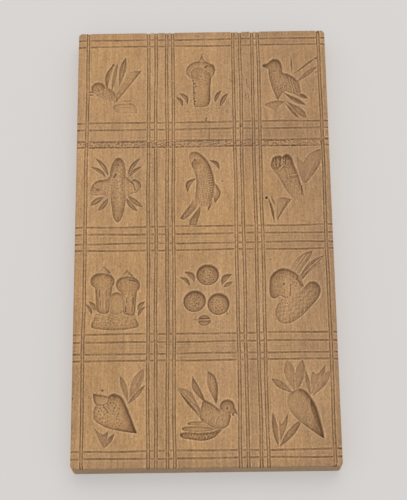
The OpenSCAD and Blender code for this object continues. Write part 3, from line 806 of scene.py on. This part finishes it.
def knocks(xs, ys):
    """Old marks beside the pictures: a drying check, slipped cuts, scratches and dents."""
    marks = Picture(xs, ys)
    strip_x = (column_x(1) + column_x(2)) / 2
    check_x, check_y = 0.026 * BOARD_W, (row_y(0) + row_y(1)) / 2
    line(marks, (check_x, check_y + 0.9 * RAIL_W), (check_x, check_y - 0.8 * RAIL_W), 0.5, 0.4)
    for k, (x, y) in enumerate(((-0.6, 0.12), (0.1, 0.05), (0.5, -0.02), (-0.2, -0.1), (0.4, -0.17))):
        at = (strip_x + x * COLUMN_STRIP_W / 2, row_y(0) + y * CELL_L)
        line(marks, at, (at[0] + 0.4, at[1] - 3.2 - k % 2), 0.6, 0.35)
    for share in (-0.3, 0.05, 0.32):
        for j in range(ROWS - 1):
            y = (row_y(j) + row_y(j + 1)) / 2 + share * ROW_STRIP_W
            reach = BOARD_W * (0.2 + 0.09 * ((3 * j + int(10 * share)) % 4))
            line(marks, (-reach, y), (reach, y + 0.3), 0.5, 0.09)
    dents = [(-BOARD_W / 2, row_y(3) + 0.09 * CELL_L), (strip_x - 3, row_y(0) - 0.55 * CELL_L)]
    prick(marks, dents, 1.1, 0.6)
    return marks.depth


def cell_window(xs, ys, i, j):
    """Index of the samples inside one cell."""
    in_x = np.nonzero(np.abs(xs - column_x(i)) < CELL_W / 2)[0]
    in_y = np.nonzero(np.abs(ys - row_y(j)) < CELL_L / 2)[0]
    return np.ix_(in_y, in_x)


def grime_map(xs, ys, worn):
    """Where the wood is darker: from old handling in slow patches, more to the right, at the two ends, on
    the ruled strips and on the worn rail; and darker along the two long edges."""
    grime = 0.30 * noise_map(xs, ys, (24, 40)) + 0.22 * noise_map(xs, ys, (7, 16))
    grime += 0.12 * noise_map(xs, ys, (3, 5))
    grime += 0.55 * smooth_step((xs[None, :] / BOARD_W - 0.08) / 0.42)
    grime += 0.35 * smooth_step((np.abs(ys[:, None]) / BOARD_L - 0.46) / 0.035)
    off_cells = np.ones((len(ys), len(xs)))
    for i in range(COLUMNS):
        for j in range(ROWS):
            off_cells[cell_window(xs, ys, i, j)] = 0
    grime += 0.3 * off_cells + 1.4 * np.clip(worn / 0.5, 0, 1)
    # Darker along the two long edges.
    grime += 0.3 * smooth_step(1 - (BOARD_W / 2 - np.abs(xs[None, :])) / 2.4)
    return np.clip(grime, 0, 1)


def cut_face(xs, ys):
    """How deep the face is cut, how dark its hollows are made by stains and painted shade at their rims,
    and how grimy it is.
    """
    depth = np.zeros((len(ys), len(xs)))
    stain_and_shade = np.zeros((len(ys), len(xs)))
    for j in range(ROWS):
        for i in range(COLUMNS):
            window = cell_window(xs, ys, i, j)
            up, across = ys[window[0].ravel()] - row_y(j), xs[window[1].ravel()] - column_x(i)
            pic = Picture(across / PICTURE_SCALE, up / PICTURE_SCALE)
            PICTURES[j * COLUMNS + i](pic)
            depth[window] = pic.depth * PICTURE_SCALE
            stain_and_shade[window] = pic.stain_and_shade
    facets = noise_map(xs, ys, (1.3, 1.7)) + 0.6 * noise_map(xs, ys, (0.7, 0.9))
    depth += 0.05 * facets * np.clip(depth / 0.6, 0, 1)
    depth = soften(depth, 0.08 / MESH_STEP)
    worn = worn_rail(xs, ys)
    depth = np.maximum(depth, ruled_grid(xs, ys)) + worn + knocks(xs, ys)
    raised_grain = 0.018 * noise_map(xs, ys, (0.8, 7)) + 0.012 * noise_map(xs, ys, (0.5, 2.5))
    unevenness = 0.05 * noise_map(xs, ys, (14, 30)) + 0.03 * noise_map(xs, ys, (5, 9))
    return depth + FACE_DROP + raised_grain + unevenness, stain_and_shade, grime_map(xs, ys, worn)


# ---- The closed mesh ----

def add_attributes(mesh, depth, stain_and_shade, grime, on_top):
    """How much each point is darkened in recesses, as dirt and painted shade, and lightened where it
    stands up, as rubbed wood and painted highlight; how dark the cut wood is, from stains and painted
    shade at hollows' rims, and how dark the handled wood is; and where the end grain shows. The first
    on_top points are the face."""
    fine = depth - soften(depth, 0.4 / MESH_STEP)
    broad = depth - soften(depth, 2.4 / MESH_STEP)
    # Painted shade and dirt in recesses, and painted highlight and rubbing on what stands up, both from
    # how far a point lies below or above its neighbourhood.
    sunk = np.clip(fine / 0.14, 0, 1) * 0.8 + np.clip(broad / 1.2, 0, 1) * 0.35
    stands = np.clip(-fine / 0.14, 0, 1)
    count = len(mesh.vertices)
    places = np.empty(count * 3)
    mesh.vertices.foreach_get("co", places)
    y = np.abs(places.reshape(-1, 3)[:, 1]) * MM_PER_M
    values = {"end_grain": smooth_step((y - (BOARD_L / 2 - 0.5)) / 0.4)}
    for name, field in (("recess_dirt_and_shade", sunk), ("ridge", stands), ("stain_and_shade", stain_and_shade), ("grime", grime)):
        values[name] = np.zeros(count)
        values[name][:on_top] = field.ravel()
    for name, numbers in values.items():
        layer = mesh.attributes.new(name, "FLOAT", "POINT")
        layer.data.foreach_set("value", numbers.astype(np.float32))


def add_bake_map(mesh, face_quads):
    """A UV map at one scale: face and back side by side, and the four sides in strips.
    The mesh's first face_quads polygons are the carved face, however steep they are."""
    gap = BOARD_T / 4
    scale = 1 / max(2 * BOARD_W + 2 * BOARD_T + 5 * gap, BOARD_L + 2 * BOARD_T + 4 * gap)
    count = len(mesh.loops)
    normals = np.empty(len(mesh.polygons) * 3)
    mesh.polygons.foreach_get("normal", normals)
    sizes = np.empty(len(mesh.polygons), int)
    mesh.polygons.foreach_get("loop_total", sizes)
    nx, ny, nz = np.repeat(normals.reshape(-1, 3), sizes, axis=0).T
    points = np.empty(count, int)
    mesh.loops.foreach_get("vertex_index", points)
    places = np.empty(len(mesh.vertices) * 3)
    mesh.vertices.foreach_get("co", places)
    x, y, z = (places.reshape(-1, 3)[points] * MM_PER_M).T
    x, y = x + BOARD_W / 2 + gap, y + BOARD_L / 2 + gap
    on_face = np.repeat(np.arange(len(mesh.polygons)) < face_quads, sizes)
    on_back = ~on_face & (nz < -0.7)
    on_side, sideways = ~on_face & ~on_back, np.abs(nx) > np.abs(ny)
    left_of_sides = 2 * (BOARD_W + gap) + gap
    u = np.where(on_back, x + BOARD_W + gap, x)
    u = np.where(on_side & sideways, left_of_sides + z + np.where(nx > 0, BOARD_T + gap, 0), u)
    above_face = BOARD_L + 2 * gap
    v = np.where(on_side & ~sideways, above_face + z + np.where(ny > 0, BOARD_T + gap, 0), y)
    layer = mesh.uv_layers.new(name="OFBake")
    layer.data.foreach_set("uv", (np.column_stack([u, v]) * scale).ravel())


def build_board():
    """The board as one closed mesh: its face is a grid, its sides are rings that follow the
    rim down, and its back is a fan round the middle."""
    xs, ys = sample_places(BOARD_W, COLUMN_LINES), sample_places(BOARD_L, ROW_LINES)
    depth, stain_and_shade, grime = cut_face(xs, ys)
    nx, ny = len(xs), len(ys)
    edge = np.minimum.outer(BOARD_L / 2 - np.abs(ys), BOARD_W / 2 - np.abs(xs))
    lip = np.clip(EDGE_ROUND - edge, 0, EDGE_ROUND)
    drop = EDGE_ROUND - np.sqrt(EDGE_ROUND ** 2 - lip ** 2)
    height = BOARD_T - np.maximum(depth, drop)
    px = np.broadcast_to(xs, (ny, nx))
    py = np.broadcast_to(ys[:, None], (ny, nx))
    past = np.clip(np.abs(ys) - (BOARD_L / 2 - CORNER_R), 0, CORNER_R)
    half = BOARD_W / 2 - (CORNER_R - np.sqrt(CORNER_R ** 2 - past ** 2))
    band = 3 * CORNER_R
    inner = BOARD_W / 2 - band
    share = np.clip((np.abs(px) - inner) / band, 0, 1)
    px = np.sign(px) * np.where(share > 0, inner + share * (half[:, None] - inner), np.abs(px))
    top = np.stack([px, py, height], -1).reshape(-1, 3)
    index = np.arange(nx * ny).reshape(ny, nx)
    face = np.stack([index[:-1, :-1], index[:-1, 1:], index[1:, 1:], index[1:, :-1]], -1)
    face = face.reshape(-1, 4)
    quads = face
    rim = np.concatenate([index[0, :-1], index[:-1, -1], index[-1, :0:-1], index[:0:-1, 0]])
    rings = [rim]
    verts = [top]
    base = len(top)
    rim_xy = top[rim, :2]
    levels = [BOARD_T * f for f in (0.8, 0.6, 0.4, 0.2)] + [EDGE_ROUND]
    insets = [0, 0, 0, 0, 0]
    for k in range(1, 5):
        a = k / 4 * math.pi / 2
        levels.append(EDGE_ROUND * (1 - math.sin(a)))
        insets.append(EDGE_ROUND * (1 - math.cos(a)))
    for z, inset in zip(levels, insets):
        outline = rim_xy * (1 - inset / np.array([BOARD_W / 2, BOARD_L / 2]))
        verts.append(np.column_stack([outline, np.full(len(rim), z)]))
        rings.append(base + np.arange(len(rim)))
        base += len(rim)
    for upper, lower in zip(rings[:-1], rings[1:]):
        side = np.stack([upper, lower, np.roll(lower, -1), np.roll(upper, -1)], -1)
        quads = np.concatenate([quads, side])
    verts = np.concatenate(verts + [np.zeros((1, 3))]) / MM_PER_M
    back = np.stack([rings[-1], np.full(len(rim), base), np.roll(rings[-1], -1)], -1)
    mesh = bpy.data.meshes.new("carved_board")
    mesh.from_pydata(verts.tolist(), [], quads.tolist() + back.tolist())
    mesh.validate()
    add_bake_map(mesh, len(face))
    add_attributes(mesh, depth, stain_and_shade, grime, len(top))
    board = bpy.data.objects.new("carved_board", mesh)
    bpy.context.collection.objects.link(board)
    for polygon in mesh.polygons:
        polygon.use_smooth = True
    return board


# ---- Materials ----

# The cut-wood colour also gives painted shade at hollows' rims, the dirt colour painted shade in
# recesses, and the rubbed-wood colour painted highlights on what stands up.
PALE_WOOD, GREYER_WOOD = (0.565, 0.322, 0.140), (0.545, 0.318, 0.155)
HANDLED_WOOD, CUT_WOOD_AND_RIM_SHADE = (0.36, 0.21, 0.115), (0.39, 0.218, 0.112)
DIRT_AND_SHADE, RUBBED_WOOD_AND_HIGHLIGHT, END_GRAIN = (0.22, 0.115, 0.055), (0.74, 0.50, 0.27), (0.33, 0.22, 0.13)


def noise(tree, vector, scale, detail=2.0, roughness=0.5, distortion=0.0):
    """The Factor output of a noise pattern; scale is how many features fit in a metre, (x, y, z)."""
    mapping = tree.nodes.new("ShaderNodeMapping")
    mapping.inputs["Scale"].default_value = scale
    tree.links.new(vector, mapping.inputs["Vector"])
    pattern = tree.nodes.new("ShaderNodeTexNoise")
    pattern.inputs["Scale"].default_value = 1
    pattern.inputs["Detail"].default_value = detail
    pattern.inputs["Roughness"].default_value = roughness
    pattern.inputs["Distortion"].default_value = distortion
    tree.links.new(mapping.outputs["Vector"], pattern.inputs["Vector"])
    return pattern.outputs["Factor"] if "Factor" in pattern.outputs else pattern.outputs["Fac"]


def spread(tree, value, low, high, to_low=0.0, to_high=1.0):
    """Stretches low..high to to_low..to_high, and clamps it there."""
    ranged = tree.nodes.new("ShaderNodeMapRange")
    for name, number in zip(("From Min", "From Max", "To Min", "To Max"), (low, high, to_low, to_high)):
        ranged.inputs[name].default_value = number
    tree.links.new(value, ranged.inputs["Value"])
    return ranged.outputs["Result"]


def blend(tree, factor, colour_a, colour_b):
    """Mixes two colours, each a colour output or a fixed (r, g, b)."""
    mix = tree.nodes.new("ShaderNodeMix")
    mix.data_type = "RGBA"
    for socket, colour in ((mix.inputs[6], colour_a), (mix.inputs[7], colour_b)):
        if isinstance(colour, tuple):
            socket.default_value = (*colour, 1)
        else:
            tree.links.new(colour, socket)
    tree.links.new(factor, mix.inputs[0])
    return mix.outputs[2]


def maths(tree, operation, a, b):
    """One Math node; a and b are outputs or fixed numbers."""
    node = tree.nodes.new("ShaderNodeMath")
    node.operation = operation
    for socket, value in zip(node.inputs, (a, b)):
        if isinstance(value, (int, float)):
            socket.default_value = value
        else:
            tree.links.new(value, socket)
    return node.outputs[0]


def attribute(tree, name):
    """One of the numbers that the mesh holds at each point."""
    node = tree.nodes.new("ShaderNodeAttribute")
    node.attribute_name = name
    return node.outputs["Fac"]


def wood_material():
    """Dry bare wood: its grain comes from noise, and its dirt, wear, painted shade and painted highlights
    from the carving.
    """
    material = bpy.data.materials.new("carved_wood")
    material.use_nodes = True
    tree = material.node_tree
    shader = tree.nodes["Principled BSDF"]
    shader.inputs["Specular IOR Level"].default_value = 0.25
    place = tree.nodes.new("ShaderNodeTexCoord").outputs["Object"]

    patina = noise(tree, place, (24, 14, 20), 2, 0.5)
    clouds = noise(tree, place, (70, 45, 60), 2, 0.55)
    streaks = noise(tree, place, (420, 12, 420), 3, 0.65, 0.15)
    fibre = noise(tree, place, (1500, 90, 1500), 2, 0.6)
    mottle = noise(tree, place, (1800, 1000, 1800), 3, 0.7)
    pores = noise(tree, place, (2400, 500, 2400), 2, 0.5)

    colour = blend(tree, spread(tree, patina, 0.35, 0.65), PALE_WOOD, GREYER_WOOD)
    tone = spread(tree, clouds, 0.3, 0.7, 0.95, 1.05)
    for pattern, low, high, dark, light in (
            (streaks, 0.3, 0.7, 1.08, 0.92), (fibre, 0.3, 0.7, 1.12, 0.87),
            (mottle, 0.3, 0.7, 0.75, 1.27), (pores, 0.58, 0.70, 1.0, 0.78)):
        tone = maths(tree, "MULTIPLY", tone, spread(tree, pattern, low, high, dark, light))

    # Grime and end grain are the wood's own colour; the other three mix stains, dirt and rubbing with
    # painted shade at rims and in recesses and painted highlight on what stands up.
    for name, most, tint in (
            ("grime", 0.6, HANDLED_WOOD), ("stain_and_shade", 0.6, CUT_WOOD_AND_RIM_SHADE), ("recess_dirt_and_shade", 0.9, DIRT_AND_SHADE),
            ("ridge", 0.6, RUBBED_WOOD_AND_HIGHLIGHT), ("end_grain", 0.85, END_GRAIN)):
        colour = blend(tree, spread(tree, attribute(tree, name), 0, 1, 0, most), colour, tint)
    scaled = tree.nodes.new("ShaderNodeVectorMath")
    scaled.operation = "SCALE"
    tree.links.new(colour, scaled.inputs[0])
    tree.links.new(tone, scaled.inputs["Scale"])
    tree.links.new(scaled.outputs[0], shader.inputs["Base Color"])

    tree.links.new(spread(tree, mottle, 0.3, 0.7, 0.62, 0.82), shader.inputs["Roughness"])

    bump = tree.nodes.new("ShaderNodeBump")
    bump.inputs["Strength"].default_value = 0.6
    bump.inputs["Distance"].default_value = 0.00025
    height = maths(tree, "MULTIPLY", mottle, 0.8)
    for pattern in (pores, fibre):
        height = maths(tree, "ADD", height, maths(tree, "MULTIPLY", pattern, -0.4))
    tree.links.new(height, bump.inputs["Height"])
    tree.links.new(bump.outputs["Normal"], shader.inputs["Normal"])
    return material


def floor_material():
    """Pale and plain, with a faint glow that keeps the shadow beside the board light."""
    material = bpy.data.materials.new("floor")
    material.use_nodes = True
    shader = material.node_tree.nodes["Principled BSDF"]
    shader.inputs["Base Color"].default_value = (0.42, 0.395, 0.375, 1)
    shader.inputs["Emission Color"].default_value = (1, 1, 1, 1)
    shader.inputs["Emission Strength"].default_value = FLOOR_GLOW
    shader.inputs["Roughness"].default_value = 0.6
    shader.inputs["Specular IOR Level"].default_value = 0.2
    return material


# ---- Board, stage, light and camera ----

def area_light(name, location, size, energy):
    """A round soft light that looks at the board."""
    data = bpy.data.lights.new(name, "AREA")
    data.shape = "DISK"
    data.size = size
    data.energy = energy
    lamp = bpy.data.objects.new(name, data)
    bpy.context.collection.objects.link(lamp)
    lamp.location = location
    lamp.rotation_euler = (-Vector(location)).to_track_quat("-Z", "Y").to_euler()


board = build_board()
board.data.materials.append(wood_material())
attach(board, "root")
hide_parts("mold_board")

bpy.ops.mesh.primitive_plane_add(size=FLOOR_SIDE, location=(0, 0, 0))
floor = bpy.context.object
floor.name = "floor"
floor.data.materials.append(floor_material())

scene = bpy.context.scene
scene.view_settings.view_transform = "Standard"
scene.world = bpy.data.worlds.new("studio")
scene.world.use_nodes = True
sky = scene.world.node_tree.nodes["Background"]
sky.inputs["Color"].default_value = (1, 1, 1, 1)
sky.inputs["Strength"].default_value = SKY_STRENGTH
area_light("key", KEY_PLACE, KEY_SIZE, KEY_POWER)

camera_data = bpy.data.cameras.new("camera")
camera_data.lens = VIEW_LENS
camera_data.sensor_fit = "HORIZONTAL"
camera_data.sensor_width = VIEW_FILM
camera = bpy.data.objects.new("camera", camera_data)
bpy.context.collection.objects.link(camera)
turn = Euler([math.radians(angle) for angle in VIEW_TURN])
camera.rotation_euler = turn
camera.location = Vector(VIEW_AIM) + turn.to_matrix() @ Vector((0, 0, VIEW_DISTANCE))
scene.camera = camera
